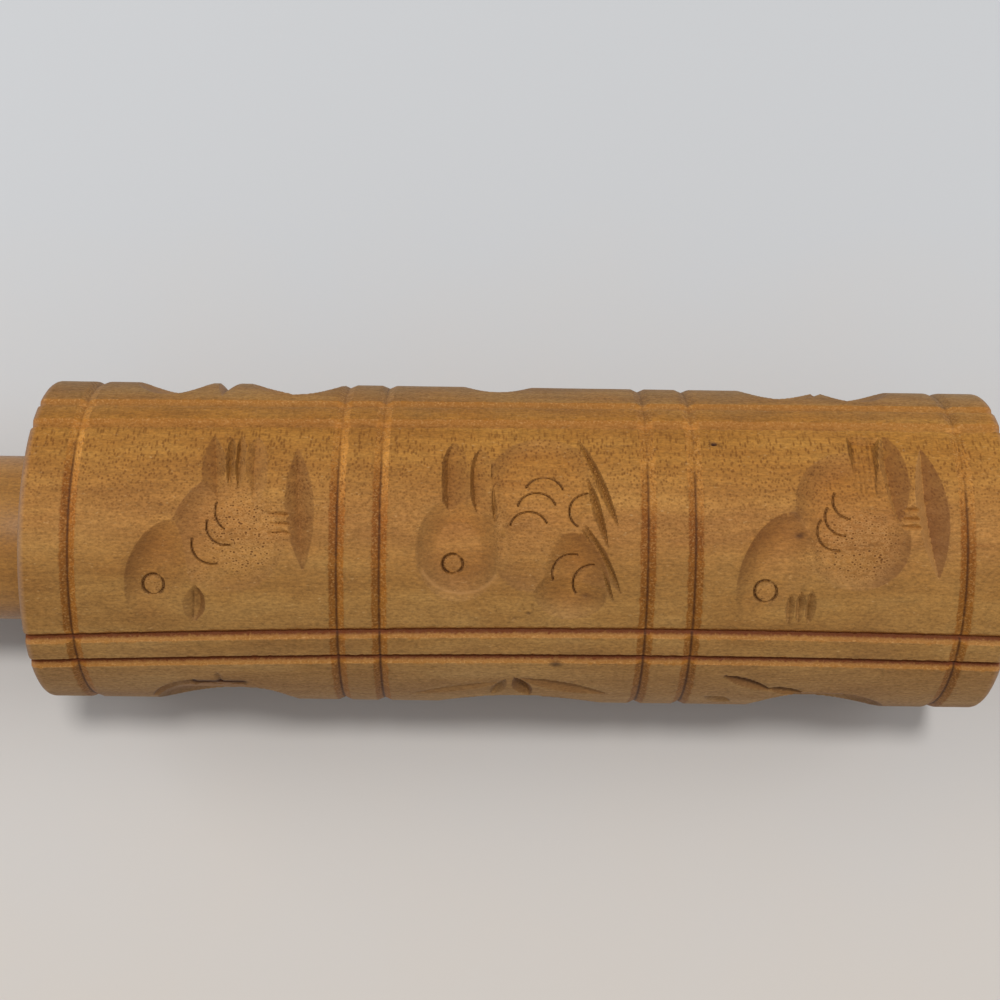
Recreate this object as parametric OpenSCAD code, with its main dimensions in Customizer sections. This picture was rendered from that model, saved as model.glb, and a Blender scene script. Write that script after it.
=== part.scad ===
// Springerle rolling pin: a roller cut with picture moulds that turns on a steel axle
// between two fixed handles. The axle lies along X, and the middle row of pictures faces up.

/* [Roller] */
// Diameter of the roller
roller_d = 57; // [50:0.5:66]
// Length of the roller
roller_len = 166; // [150:1:190]
// Bevel at the roller's two rims
rim_bevel = 0.8; // [0.4:0.1:2]
// Distance from an end face to the first ring groove
end_land = 8.3; // [6:0.1:12]
// Distance between the two ring grooves of a pair
band_w = 7.4; // [5:0.1:10]
// Distance round the roller between the two long grooves of a pair
bar_w = 5.9; // [4.5:0.1:8]
// Width of a V groove at the surface
groove_w = 2.6; // [1.6:0.1:3.2]
// Depth of a V groove
groove_d = 1.2; // [0.6:0.1:1.8]
// Angle by which the long grooves lean off the axle
groove_lean = 0.7; // [0:0.1:1.2]

/* [Pictures] */
// Rows of pictures round the roller
picture_rows = 4; // [3:1:5]
// Depth of a broad hollow, such as a head or a fruit
hollow_d = 1.4; // [0.8:0.1:2]
// Depth of a narrow cut, such as a leaf or a feather
leaf_d = 1.1; // [0.6:0.1:1.6]
// Depth of a fine cut, such as a stalk or a blade of grass
fine_d = 0.5; // [0.3:0.1:0.6]
// Radius of an eye's ring
eye_r = 1.8; // [1.2:0.1:2.4]
// Width of the cut that draws an eye's ring
eye_line = 0.7; // [0.4:0.1:1]

/* [Axle] */
// Diameter of the axle inside the roller
axle_d = 10; // [9:0.5:14]
// Diameter of the axle's turned-down ends, inside the handles
tail_d = 8; // [6:0.5:9]
// Gap between the axle and the hole through the roller, on the radius
core_gap = 1; // [0.5:0.1:2]
// Running clearance between the axle and its bushes, on the radius
running_gap = 0.05; // [0.02:0.01:0.1]
// End float of the roller between its washers, at each end
end_float = 0.3; // [0.2:0.05:0.6]
// Length of the axle's thread that shows past each nut
thread_show = 1.5; // [0.5:0.5:3]
// Bevel at the axle's tips
tip_bevel = 0.8; // [0.4:0.1:1.2]

/* [Bushes] */
// Wall of a bush's sleeve
bush_wall = 2.5; // [1.5:0.5:4]
// Length of a bush's sleeve behind its flange
bush_len = 16; // [10:1:24]
// Diameter of a bush's flange
bush_flange_d = 22; // [18:0.5:26]
// Thickness of a bush's flange
bush_flange_t = 3; // [2:0.5:5]
// Height of a bush's flange above the roller's end face
bush_proud = 0.4; // [0.2:0.1:1]

/* [Handles] */
// Length of a handle
handle_len = 98; // [80:1:115]
// Diameter of the handle's straight collar
collar_d = 29.6; // [27:0.2:34]
// Length of the straight collar
collar_len = 20; // [14:1:30]
// Diameter of the handle at its waist
waist_d = 24.4; // [22:0.2:27]
// Length from the collar to the middle of the waist
waist_run = 22; // [16:1:30]
// Diameter of the handle at its swell
swell_d = 28.8; // [27:0.2:33]
// Radius of the handle's rounded nose
nose_r = 4; // [3:0.5:5]
// Bevel at the collar's inner rim
collar_bevel = 1; // [0.5:0.1:2]

/* [Fasteners] */
// Outer diameter of a thrust washer, between a bush and a handle
thrust_d = 20; // [17:0.5:24]
// Thickness of a thrust washer
thrust_t = 1.5; // [1:0.1:2]
// Width of a nut across its flats
nut_flats = 13; // [11:0.5:15]
// Thickness of a nut
nut_t = 6.5; // [4:0.5:8]
// Outer diameter of the washer under a nut
nut_washer_d = 16; // [15.5:0.5:17.5]
// Thickness of the washer under a nut
nut_washer_t = 1.6; // [1:0.1:2]
// Diameter of the well in a handle's nose that holds the nut
well_d = 18.4; // [18:0.2:20]
// Gap left round the axle's ends in the handles and washers, on the radius
hole_gap = 0.1; // [0.05:0.05:0.3]

/* [Plugs] */
// Length of the plug that closes a handle's well
plug_len = 9; // [6:0.5:12]
// Height of the plug's dome above the handle's nose
plug_dome = 1.6; // [0.8:0.1:2.5]
// Gap left between the plug and the axle's tip
plug_gap = 0.6; // [0.3:0.1:2]

/* [Hidden] */
$fn = 96;

LEFT = -1;
RIGHT = 1;
PICTURES_ALONG = 3;

roller_r = roller_d / 2;
bush_r = axle_d / 2 + running_gap + bush_wall;
core_r = axle_d / 2 + core_gap;

// Places along the axle, measured from the roller's middle to the right
roller_end = roller_len / 2;
bush_face = roller_end + bush_proud;
shoulder = bush_face + end_float;
handle_in = shoulder + thrust_t;
handle_out = handle_in + handle_len;
well_depth = plug_len + plug_gap + thread_show + nut_t + nut_washer_t;
well_floor = handle_out - well_depth;
nut_in = well_floor + nut_washer_t;
axle_tip = nut_in + nut_t + thread_show;
plug_in = handle_out - plug_len;

// The picture panels
picture_w = (roller_len - 2 * end_land - 2 * band_w) / PICTURES_ALONG;
picture_pitch = picture_w + band_w;
row_angle = 360 / picture_rows;
bar_angle = bar_w / roller_r * 180 / PI;

ring_places = [
    for (side = [LEFT, RIGHT])
        each [
            side * (side < 0 ? roller_end - end_land : picture_w / 2),
            side * (picture_w / 2 + band_w),
            side * (side < 0 ? picture_w / 2 : roller_end - end_land)
        ]
];

// The pictures are drawn for a panel of this width and grow with it
DRAWN_W = 44.93;
picture_scale = picture_w / DRAWN_W;

// How far a cutter stands past the surface that it cuts
PAST = 1;
// The least bend of a cutter along its stroke, so that its radius stays finite
LEAST_BEND = 0.002;

module wood() { color("peru") children(); }
module handle_wood() { color("burlywood") children(); }
module steel() { color("silver") children(); }
module nylon() { color("ivory") children(); }

// Turns a shape that was drawn about Z so that it runs along X, to the chosen side
module along(side) {
    rotate([0, side * 90, 0]) children();
}

// The roller's outline from end to end, as radius and place along the axle
function roller_outline() = [
    [roller_r - rim_bevel, -roller_end],
    [roller_r, rim_bevel - roller_end],
    for (place = ring_places)
        each [
            [roller_r, place - groove_w / 2],
            [roller_r - groove_d, place],
            [roller_r, place + groove_w / 2]
        ],
    [roller_r, roller_end - rim_bevel],
    [roller_r - rim_bevel, roller_end]
];

// The turned blank, with its ring grooves, axle hole and the seats of the bushes
module blank() {
    flange_seat = roller_end + bush_proud - bush_flange_t;
    sleeve_seat = flange_seat - bush_len;
    rotate([row_angle / 2, 0, 0]) along(RIGHT) rotate_extrude() polygon([
        each roller_outline(),
        [bush_flange_d / 2, roller_end],
        [bush_flange_d / 2, flange_seat],
        [bush_r, flange_seat],
        [bush_r, sleeve_seat],
        [core_r, sleeve_seat],
        [core_r, -sleeve_seat],
        [bush_r, -sleeve_seat],
        [bush_r, -flange_seat],
        [bush_flange_d / 2, -flange_seat],
        [bush_flange_d / 2, -roller_end]
    ]);
}

// A straight V cut along the roller's top, leaning a little off the axle
module long_groove() {
    reach = roller_len + 2 * PAST;
    spread = (groove_d + PAST) * groove_w / 2 / groove_d;
    translate([0, 0, roller_r - groove_d]) rotate([0, 0, groove_lean]) rotate([90, 0, 90])
        translate([0, 0, -reach / 2]) linear_extrude(reach)
            polygon([[0, 0], [spread, groove_d + PAST], [-spread, groove_d + PAST]]);
}

// A stroke of the carver's tool is [place, length, width, turn, depth]. Places are measured from
// the middle of the panel, along the axle and round the roller.

// A round hollow
function dish(at, wide, depth = hollow_d) = [at, wide, wide, 90, depth];

// A narrow cut between two points
function gouge(from, to, wide, depth = leaf_d) =
    let (run = to - from)
    [(from + to) / 2, norm(run), wide, atan2(run.y, run.x), depth];

// The ring of an eye, cut into the floor of a hollow that is this deep there
function eye(at, floor_d) = [at, 0, 2 * eye_r, 0, floor_d];

// A bird on a twig, with its head to the left of the panel
function small_bird() = [
    dish([-6.2, -6], 11.6),
    dish([-8.2, -10.4], 11.2),
    dish([3.8, -2], 17),
    gouge([1.6, 4], [0.6, 14.8], 2.8),
    gouge([4, 4.6], [3.5, 14.8], 2.4),
    gouge([5.9, 4.6], [5.8, 14.8], 2.4),
    gouge([8.7, 4.8], [8.8, 14.8], 3.2),
    gouge([15.3, 12.4], [17, -7.4], 4.6),
    gouge([10.6, 0.2], [14.6, 0], 1.3, fine_d),
    gouge([10.6, -1.8], [14.6, -2], 1.3, fine_d),
    gouge([-2.2, -11.6], [-2.3, -17], 1.5, fine_d),
    gouge([-0.2, -12], [-0.3, -17], 1.4, fine_d),
    eye([-8.1, -10.6], 1.25)
];

// The same bird, cut larger
function large_bird() = [
    dish([-7.2, -4.4], 12.4),
    dish([-9.6, -9], 12),
    dish([3.2, 1], 19),
    gouge([5.6, 5.4], [6.6, 17.4], 4.8),
    gouge([10.2, 5.8], [10.7, 18], 3.6),
    gouge([16.2, 14.6], [18.2, -7], 4.8),
    gouge([11, 2.4], [15.4, 2.4], 1.3, fine_d),
    gouge([11, 0.3], [15.4, 0.5], 1.3, fine_d),
    gouge([-5, -11.4], [-5.6, -16.6], 1.4, fine_d),
    gouge([-3, -11.4], [-3.2, -16.6], 1.4, fine_d),
    eye([-10.2, -9.8], 1.2)
];

// A rabbit in the grass, with its head to the left of the panel
function rabbit() = [
    dish([-9.3, -6.4], 13),
    dish([-9.4, -1.8], 13.4),
    gouge([-10.4, 2.6], [-10.8, 14.8], 4.2),
    gouge([-6, 2], [-6, 13.6], 3.6),
    dish([4.5, 6.2], 17.8),
    dish([9.4, -8.4], 13.2),
    gouge([10.8, 15.6], [17, 0.2], 1.7, fine_d),
    gouge([12.2, 7.5], [15.4, -2.6], 1.5, fine_d),
    gouge([12.4, -1.2], [17.8, -11.6], 1.7, fine_d),
    eye([-10.5, -7], 1.2)
];

// A butterfly with its body across the panel
function butterfly() = [
    for (side = [LEFT, RIGHT]) each [
        dish([1.2 + side * 11, 6.4], 12.6),
        dish([1.2 + side * 10.4, -7], 12)
    ],
    gouge([1.6, -13.6], [1.4, 12], 4)
];

// An acorn hanging from its twig, with one leaf
function acorn() = [
    dish([-3, -6], 12.4),
    dish([-3, -0.6], 13),
    gouge([-10.6, 6.6], [4.6, 6.6], 4.6),
    gouge([-3, 9.6], [-2.4, 15.6], 1.7, fine_d),
    gouge([1, 11.4], [14.6, 13.6], 4.6)
];

// A pair of cherries under their leaf
function cherries() = [
    for (side = [LEFT, RIGHT]) each [
        dish([side * 7, -6], 13.2),
        gouge([side * 6, 1.6], [side * 0.6, 13.4], 1.6, fine_d)
    ],
    gouge([2, 14.2], [16.4, 9.8], 5)
];

// An apple with its stalk and one leaf
function apple() = [
    dish([-5.6, 1.4], 16),
    dish([3.8, 1.4], 16),
    gouge([1.3, 9.6], [1.2, 15.4], 1.8, fine_d),
    gouge([-2.4, 13.4], [-14, 8.4], 4.6)
];

// A strawberry under two long leaves
function strawberry() = [
    dish([0, 0.4], 16.4),
    dish([0, -7.6], 12.4),
    gouge([1.4, 13.6], [17, 9], 3.6),
    gouge([-1.4, 13.2], [-17.4, 7.6], 3.6),
    gouge([0.3, 14.6], [1.6, 8.2], 2.4, fine_d)
];

// A peach with its stalk and two leaves
function peach() = [
    dish([-0.4, 0.8], 18.6),
    gouge([-0.6, 9.8], [-3.2, 14.6], 1.8, fine_d),
    gouge([-6.6, 11.2], [-16, 15.8], 4.4),
    gouge([-12.4, 3.6], [-18.4, 8.2], 3.4)
];

// A tulip with two leaves
function tulip() = [
    dish([0, 4.6], 11.6),
    for (side = [LEFT, RIGHT]) each [
        gouge([side * 2.6, 3.6], [side * 6.8, 14.8], 4.6),
        gouge([side * 1.6, -15], [side * 12, -2], 4.8)
    ],
    gouge([0, -2], [0, -16], 1.8, fine_d)
];

// A fish swimming to the left
function fish() = [
    for (place = [-9, -2, 5]) dish([place, 0], 13.4 - abs(place + 2) / 3.5),
    gouge([10.4, 1.6], [17.6, 9.6], 4.8),
    gouge([10.4, -1.6], [17.6, -9.6], 4.8),
    gouge([-4.6, 8.6], [5.6, 11.4], 3.4),
    eye([-10, 0.8], 1.25)
];

// A flower with a round middle and eight petals
function daisy() = [
    dish([0, 0], 8.8),
    for (turn = [22.5 : 45 : 359])
        gouge([cos(turn), sin(turn)] * 5.8, [cos(turn), sin(turn)] * 16.4, 4.8)
];

// The pictures of one row, from left to right
function row_pictures(row) =
    row % 4 == 0 ? [small_bird(), rabbit(), large_bird()]
    : row % 4 == 1 ? [butterfly(), acorn(), cherries()]
    : row % 4 == 2 ? [tulip(), fish(), daisy()]
    : [apple(), strawberry(), peach()];

// Every stroke on the roller, as [row, panel, stroke]
STROKES = [
    for (row = [0 : picture_rows - 1])
        for (panel = [0 : PICTURES_ALONG - 1])
            for (stroke = row_pictures(row)[panel]) [row, panel, stroke]
];

// How sharply a cutter must bend to leave a hollow of this half size and depth in a bent skin
function cutter_bend(half, depth, skin_bend) =
    let (bend = 2 * depth / (pow(half, 2) + pow(depth, 2)) - skin_bend)
    abs(bend) < LEAST_BEND ? LEAST_BEND : bend;

// A cutter for one stroke, on the skin above the origin: a ball, or a wheel with a round rim.
// Where the skin bends more than the stroke's floor, the wheel becomes a hoop about the roller.
module cutter(long, wide, turn, depth) {
    along_bend = cutter_bend(long / 2, depth, pow(sin(turn), 2) / roller_r);
    across_bend = cutter_bend(wide / 2, depth, pow(cos(turn), 2) / roller_r);
    ball_r = 2 / (along_bend + across_bend);
    rim_r = 1 / across_bend;
    wheel_r = 1 / along_bend - rim_r;
    if (along_bend > 0 && wheel_r < rim_r)
        translate([0, 0, ball_r - depth]) rotate([90, 0, 0]) sphere(r = ball_r);
    else
        translate([0, 0, rim_r - depth + wheel_r]) rotate([90, 0, turn]) rotate_extrude()
            translate([abs(wheel_r), 0]) rotate(wheel_r > 0 ? 180 : 0) circle(r = rim_r);
}

// The cutter of one stroke, in its place on the roller
module stroke_cutter(row, panel, stroke) {
    at = stroke[0] * picture_scale;
    long = stroke[1] * picture_scale;
    wide = stroke[2] * picture_scale;
    translate([(panel - 1) * picture_pitch + at.x, 0, 0])
        rotate([-row * row_angle - at.y / roller_r * 180 / PI, 0, 0])
            translate([0, 0, roller_r]) {
                if (long == 0)
                    translate([0, 0, -stroke[4]]) rotate_extrude()
                        translate([wide / 2, 0]) rotate(90) circle(d = eye_line);
                else
                    cutter(long, wide, stroke[3], stroke[4]);
            }
}

// The blank after the first so many strokes
module carved(count) {
    if (count == 0) difference() {
        blank();
        for (row = [0 : picture_rows - 1])
            for (side = [LEFT, RIGHT])
                rotate([(row + 1 / 2) * row_angle + side * bar_angle / 2, 0, 0]) long_groove();
    }
    else difference() {
        carved(count - 1);
        stroke_cutter(STROKES[count - 1][0], STROKES[count - 1][1], STROKES[count - 1][2]);
    }
}

module roller() {
    wood() carved(len(STROKES));
}

// A flanged sleeve that is pressed into the roller's end and runs on the axle
module bush(side) {
    bore_r = axle_d / 2 + running_gap;
    flange_in = bush_face - bush_flange_t;
    nylon() along(side) rotate_extrude() polygon([
        [bore_r, flange_in - bush_len],
        [bush_r, flange_in - bush_len],
        [bush_r, flange_in],
        [bush_flange_d / 2, flange_in],
        [bush_flange_d / 2, bush_face],
        [bore_r, bush_face]
    ]);
}

// The steel rod, with a shoulder at each end that the handle is drawn up to
module axle() {
    steel() for (side = [LEFT, RIGHT]) along(side) rotate_extrude() polygon([
        [0, 0],
        [axle_d / 2, 0],
        [axle_d / 2, shoulder],
        [tail_d / 2, shoulder],
        [tail_d / 2, axle_tip - tip_bevel],
        [tail_d / 2 - tip_bevel, axle_tip],
        [0, axle_tip]
    ]);
}

// A flat washer round the axle's end, from one place along the axle
module washer(side, place, washer_d, thick) {
    steel() along(side) translate([0, 0, place]) difference() {
        cylinder(d = washer_d, h = thick);
        translate([0, 0, -PAST]) cylinder(r = tail_d / 2 + hole_gap, h = thick + 2 * PAST);
    }
}

// The handle's grip past its collar, as radius and place: a waist, a swell and a rounded nose
function grip_r(run, run_len) =
    run < waist_run
        ? waist_d / 2 + (collar_d - waist_d) / 4 * (1 + cos(180 * run / waist_run))
        : waist_d / 2 + (swell_d - waist_d) / 4 * (1 - cos(180 * (run - waist_run) / (run_len - waist_run)));

GRIP_STEPS = 24;
NOSE_STEPS = 6;

function grip_outline() =
    let (run_len = handle_len - collar_len - nose_r)
    [
        for (i = [1 : GRIP_STEPS])
            let (run = run_len * i / GRIP_STEPS)
            [grip_r(run, run_len), handle_in + collar_len + run],
        for (i = [1 : NOSE_STEPS])
            let (turn = 90 * i / NOSE_STEPS)
            [swell_d / 2 - nose_r * (1 - cos(turn)), handle_out - nose_r * (1 - sin(turn))]
    ];

module handle(side) {
    hole_r = tail_d / 2 + hole_gap;
    handle_wood() along(side) rotate_extrude() polygon([
        [hole_r, handle_in],
        [collar_d / 2 - collar_bevel, handle_in],
        [collar_d / 2, handle_in + collar_bevel],
        [collar_d / 2, handle_in + collar_len],
        each grip_outline(),
        [well_d / 2, handle_out],
        [well_d / 2, well_floor],
        [hole_r, well_floor]
    ]);
}

module nut(side) {
    steel() along(side) translate([0, 0, nut_in]) difference() {
        cylinder(d = nut_flats / cos(30), h = nut_t, $fn = 6);
        translate([0, 0, -PAST]) cylinder(d = tail_d, h = nut_t + 2 * PAST);
    }
}

// A domed wooden button that closes the well over the nut
module plug(side) {
    dome_r = (pow(well_d / 2, 2) + pow(plug_dome, 2)) / (2 * plug_dome);
    handle_wood() along(side) intersection() {
        translate([0, 0, plug_in]) cylinder(d = well_d, h = plug_len + plug_dome);
        translate([0, 0, handle_out + plug_dome - dome_r]) sphere(r = dome_r);
    }
}

roller();
bush(LEFT);  // left_bush
bush(RIGHT);  // right_bush
axle();
washer(LEFT, shoulder, thrust_d, thrust_t);  // left_thrust_washer
washer(RIGHT, shoulder, thrust_d, thrust_t);  // right_thrust_washer
handle(LEFT);  // left_handle
handle(RIGHT);  // right_handle
washer(LEFT, well_floor, nut_washer_d, nut_washer_t);  // left_nut_washer
washer(RIGHT, well_floor, nut_washer_d, nut_washer_t);  // right_nut_washer
nut(LEFT);  // left_nut
nut(RIGHT);  // right_nut
plug(LEFT);  // left_plug
plug(RIGHT);  // right_plug
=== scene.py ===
# %% [markdown]
# # A springerle rolling pin
# A springerle pin prints pictures into biscuit dough. Its roller is a turned wooden cylinder, cut with hollow
# pictures in panels, and it spins on a steel axle between two handles.
# The solids of the pin come from its construction model and are loaded first. Everything below is made in the
# same frame: metres, X along the axle, Z up, with the roller's middle at the origin.

# %% Load the construction model
import math

import bpy
import numpy as np
from mathutils import Matrix, Vector


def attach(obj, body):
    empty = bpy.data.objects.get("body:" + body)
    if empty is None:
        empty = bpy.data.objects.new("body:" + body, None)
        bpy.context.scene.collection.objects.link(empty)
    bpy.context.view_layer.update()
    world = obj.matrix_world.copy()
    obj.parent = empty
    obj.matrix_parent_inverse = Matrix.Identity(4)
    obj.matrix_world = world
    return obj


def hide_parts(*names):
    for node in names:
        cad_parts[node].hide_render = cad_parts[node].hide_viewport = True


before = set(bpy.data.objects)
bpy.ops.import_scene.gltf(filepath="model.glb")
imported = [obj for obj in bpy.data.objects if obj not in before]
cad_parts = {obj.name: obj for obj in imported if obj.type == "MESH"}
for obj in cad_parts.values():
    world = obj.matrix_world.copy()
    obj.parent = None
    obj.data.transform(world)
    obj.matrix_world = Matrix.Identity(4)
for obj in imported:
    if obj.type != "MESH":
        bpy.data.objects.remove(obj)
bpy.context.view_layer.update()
scene = bpy.context.scene
scene.view_settings.view_transform = "Standard"
MM = 0.001

# %% [markdown]
# ## The camera
# The picture was taken from nearly straight above, about a third of a metre away, with the pin filling the
# frame from edge to edge. A camera can be aimed by its three directions: right, up and ahead. Starting from a
# view straight at the axle, it is rolled a little, then turned until the axle lands on the right pixel.

# %% Aim the camera
FRAME_PIXELS = 1000
FOCAL_PIXELS = 1700
SENSOR_WIDE = 36
NEAREST_SIGHT = 0.01
CAMERA_SIDE = -5.5 * MM
CAMERA_AWAY = 310 * MM
CAMERA_TILT = math.radians(7)
CAMERA_ROLL = math.radians(0.8)
AXLE_PIXEL = (485, 543.7)


def stand(name, data):
    thing = bpy.data.objects.new(name, data)
    scene.collection.objects.link(thing)
    return thing


def aim_camera():
    level = Vector((1, 0, 0))
    ahead = Vector((0, math.sin(CAMERA_TILT), -math.cos(CAMERA_TILT)))
    upright = Vector((0, math.cos(CAMERA_TILT), math.sin(CAMERA_TILT)))
    right = level * math.cos(CAMERA_ROLL) + upright * math.sin(CAMERA_ROLL)
    up = upright * math.cos(CAMERA_ROLL) - level * math.sin(CAMERA_ROLL)
    place = Vector((CAMERA_SIDE, 0, 0)) - ahead * CAMERA_AWAY
    across = (FRAME_PIXELS / 2 - AXLE_PIXEL[0]) / FOCAL_PIXELS
    down = (AXLE_PIXEL[1] - FRAME_PIXELS / 2) / FOCAL_PIXELS
    ahead = (ahead + right * across + up * down).normalized()
    right = (right - ahead * right.dot(ahead)).normalized()
    up = right.cross(ahead)
    eye = stand("photo_camera", bpy.data.cameras.new("photo_camera"))
    eye.data.sensor_width = SENSOR_WIDE
    eye.data.lens = SENSOR_WIDE * FOCAL_PIXELS / FRAME_PIXELS
    eye.data.clip_start = NEAREST_SIGHT
    eye.matrix_world = Matrix.Translation(place) @ Matrix((right, up, -ahead)).transposed().to_4x4()
    scene.camera = eye
    return eye


photo_camera = aim_camera()
print("camera at", [round(n, 4) for n in photo_camera.matrix_world.translation])

# %% [markdown]
# ## Nodes and colours
# Materials and Geometry Nodes are both trees of small boxes joined by wires. Here a Wire stands for one
# output of a box, and sums are written with it as with a number: each sum adds a Math box to the tree. One
# helper places a box and fills or joins its inputs, and the others make the noises, cells, ramps and blends
# that every finish needs. The sizes of noises and cells are given as lengths along the three axes.
# Colours are written as the numbers a paint program shows, and turned into the linear light Blender works in.

# %% Wires and sums
class Wire:
    def __init__(self, tree, socket):
        self.tree = tree
        self.socket = socket

    def __add__(self, other):
        return reckon("ADD", self, other)

    def __sub__(self, other):
        return reckon("SUBTRACT", self, other)

    def __rsub__(self, other):
        return reckon("SUBTRACT", other, self)

    def __mul__(self, other):
        return reckon("MULTIPLY", self, other)

    def __truediv__(self, other):
        return reckon("DIVIDE", self, other)

    def __abs__(self):
        return reckon("ABSOLUTE", self)


def feed(tree, node, feeds):
    for key, value in feeds.items():
        if isinstance(value, Wire):
            tree.links.new(value.socket, node.inputs[key])
        else:
            node.inputs[key].default_value = value


def put(tree, kind, feeds=None, output=0, **settings):
    node = tree.nodes.new(kind)
    for name, value in settings.items():
        setattr(node, name, value)
    feed(tree, node, feeds or {})
    return Wire(tree, node.outputs[output])


def reckon(operation, *terms, clamp=False):
    tree = next(term.tree for term in terms if isinstance(term, Wire))
    return put(tree, "ShaderNodeMath", dict(enumerate(terms)), operation=operation, use_clamp=clamp)


print("wires can be added, taken away, multiplied and divided")


# %% Places and noises
def coordinates(tree, kind="Object"):
    return put(tree, "ShaderNodeTexCoord", output=kind)


def parts_of(vector):
    node = vector.tree.nodes.new("ShaderNodeSeparateXYZ")
    feed(vector.tree, node, {0: vector})
    return [Wire(vector.tree, socket) for socket in node.outputs]


def stretched(vector, lengths):
    scale = tuple(1 / length for length in lengths)
    return put(vector.tree, "ShaderNodeVectorMath", {0: vector, 1: scale}, operation="MULTIPLY")


def cloud(vector, scale, detail):
    return put(vector.tree, "ShaderNodeTexNoise", {"Vector": vector, "Scale": scale, "Detail": detail}, "Fac")


def noise(vector, lengths, detail=2.0, rough=0.5):
    feeds = {"Vector": stretched(vector, lengths), "Scale": 1, "Detail": detail, "Roughness": rough}
    return put(vector.tree, "ShaderNodeTexNoise", feeds, "Fac")


def cells(vector, lengths):
    feeds = {"Vector": stretched(vector, lengths), "Scale": 1, "Randomness": 1}
    return put(vector.tree, "ShaderNodeTexVoronoi", feeds, "Distance")


# %% Ranges, ramps and blends
def mapped(value, low, high, to=(0, 1)):
    feeds = {"Value": value, "From Min": low, "From Max": high, "To Min": to[0], "To Max": to[1]}
    return put(value.tree, "ShaderNodeMapRange", feeds)


def ramp(value, stops):
    node = value.tree.nodes.new("ShaderNodeValToRGB")
    feed(value.tree, node, {"Fac": value})
    while len(node.color_ramp.elements) < len(stops):
        node.color_ramp.elements.new(0.5)
    for element, (position, tone) in zip(node.color_ramp.elements, stops):
        element.position = position
        element.color = tone if isinstance(tone, tuple) else (tone, tone, tone, 1)
    return Wire(value.tree, node.outputs["Color"])


def blend(share, under, over, mode="MIX"):
    feeds = {0: share, 6: under, 7: over}
    return put(under.tree, "ShaderNodeMix", feeds, 2, data_type="RGBA", blend_type=mode)


def tinted(tone, tint, share=1.0):
    return blend(share, tone, tint, "MULTIPLY")


def attribute(tree, name):
    return put(tree, "ShaderNodeAttribute", output="Fac", attribute_name=name)


# %% Colours and finishes
def colour(red, green, blue):
    def linear(level):
        level = level / 255
        return level / 12.92 if level <= 0.04045 else ((level + 0.055) / 1.055) ** 2.4

    return (linear(red), linear(green), linear(blue), 1)


def new_finish(name):
    material = bpy.data.materials.new(name)
    material.use_nodes = True
    return material, material.node_tree


def paint(material, feeds):
    feed(material.node_tree, material.node_tree.nodes["Principled BSDF"], feeds)
    return material


def bumped(height, strength, distance):
    feeds = {"Height": height, "Strength": strength, "Distance": distance}
    return put(height.tree, "ShaderNodeBump", feeds, "Normal")


print("a middle grey of 128 is", round(colour(128, 128, 128)[0], 3), "in linear light")

# %% [markdown]
# ## Floor and light
# The pin lies on a pale grey board. One soft lamp stands almost overhead, a little beyond the pin, so the
# shadow falls on the near side. A pale sky fills it in, and two weak lamps stand at the sides. A sun lamp
# with a wide angle gives the same light everywhere, and its angle sets how soft the edge of the shadow is.

# %% Lay the floor and hang the lamps
ROLLER_R = 28.5
FLOOR_SIDE = 4
# The board is painted warmer on the near side and cooler on the far side. This is a painted tint of the
# light, which comes cool from beyond the pin and is partly blocked by the pin on the near side.
NEAR_BOARD_LIGHT = colour(210, 203, 196)
FAR_BOARD_LIGHT = colour(202, 204, 207)
BOARD_SPAN = (-0.06, 0.1)
BOARD_PATCHES = 0.06
LAMP_TILT = math.radians(9)
LAMP_SIDE = math.radians(3.5)
LAMP_SIZE = math.radians(9)
LAMP_LEVEL = 1.3
LAMP_COLOUR = (1, 0.985, 0.96)
SKY_LEVEL = 0.4
SKY_COLOUR = (0.97, 0.985, 1, 1)
SIDE_LAMPS = (((-0.5, 0.2, 0.42), 1.0), ((0.55, 0.1, 0.5), 0.8))
SIDE_LAMP_WIDE = 0.35


def board_finish():
    material, tree = new_finish("pale_board")
    spot = coordinates(tree)
    _, away, _ = parts_of(spot)
    away = away + cloud(spot, 30, 6) * BOARD_PATCHES
    tone = ramp(mapped(away, *BOARD_SPAN), ((0, NEAR_BOARD_LIGHT), (1, FAR_BOARD_LIGHT)))
    return paint(material, {"Base Color": tone, "Roughness": 0.75})


def lay_floor():
    half = FLOOR_SIDE / 2
    height = -ROLLER_R * MM
    corners = [(-half, -half, height), (half, -half, height), (half, half, height), (-half, half, height)]
    mesh = bpy.data.meshes.new("floor")
    mesh.from_pydata(corners, [], [(0, 1, 2, 3)])
    mesh.materials.append(board_finish())
    floor = stand("floor", mesh)


def hang_lamps():
    lamp = stand("soft_lamp", bpy.data.lights.new("soft_lamp", "SUN"))
    lamp.data.energy = LAMP_LEVEL
    lamp.data.angle = LAMP_SIZE
    lamp.data.color = LAMP_COLOUR
    lamp.rotation_euler = (-LAMP_TILT, LAMP_SIDE, 0)
    for number, (place, power) in enumerate(SIDE_LAMPS):
        name = f"side_lamp_{number}"
        panel = stand(name, bpy.data.lights.new(name, "AREA"))
        panel.data.energy = power
        panel.data.size = SIDE_LAMP_WIDE
        panel.location = place
        panel.rotation_euler = Vector(place).to_track_quat("Z", "Y").to_euler()
    sky = bpy.data.worlds.new("soft_sky")
    sky.use_nodes = True
    backdrop = {"Color": SKY_COLOUR, "Strength": SKY_LEVEL}
    feed(sky.node_tree, sky.node_tree.nodes["Background"], backdrop)
    scene.world = sky


lay_floor()
hang_lamps()
print("floor at", -ROLLER_R, "mm, lamp tilted", round(math.degrees(LAMP_TILT)), "degrees")

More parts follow.
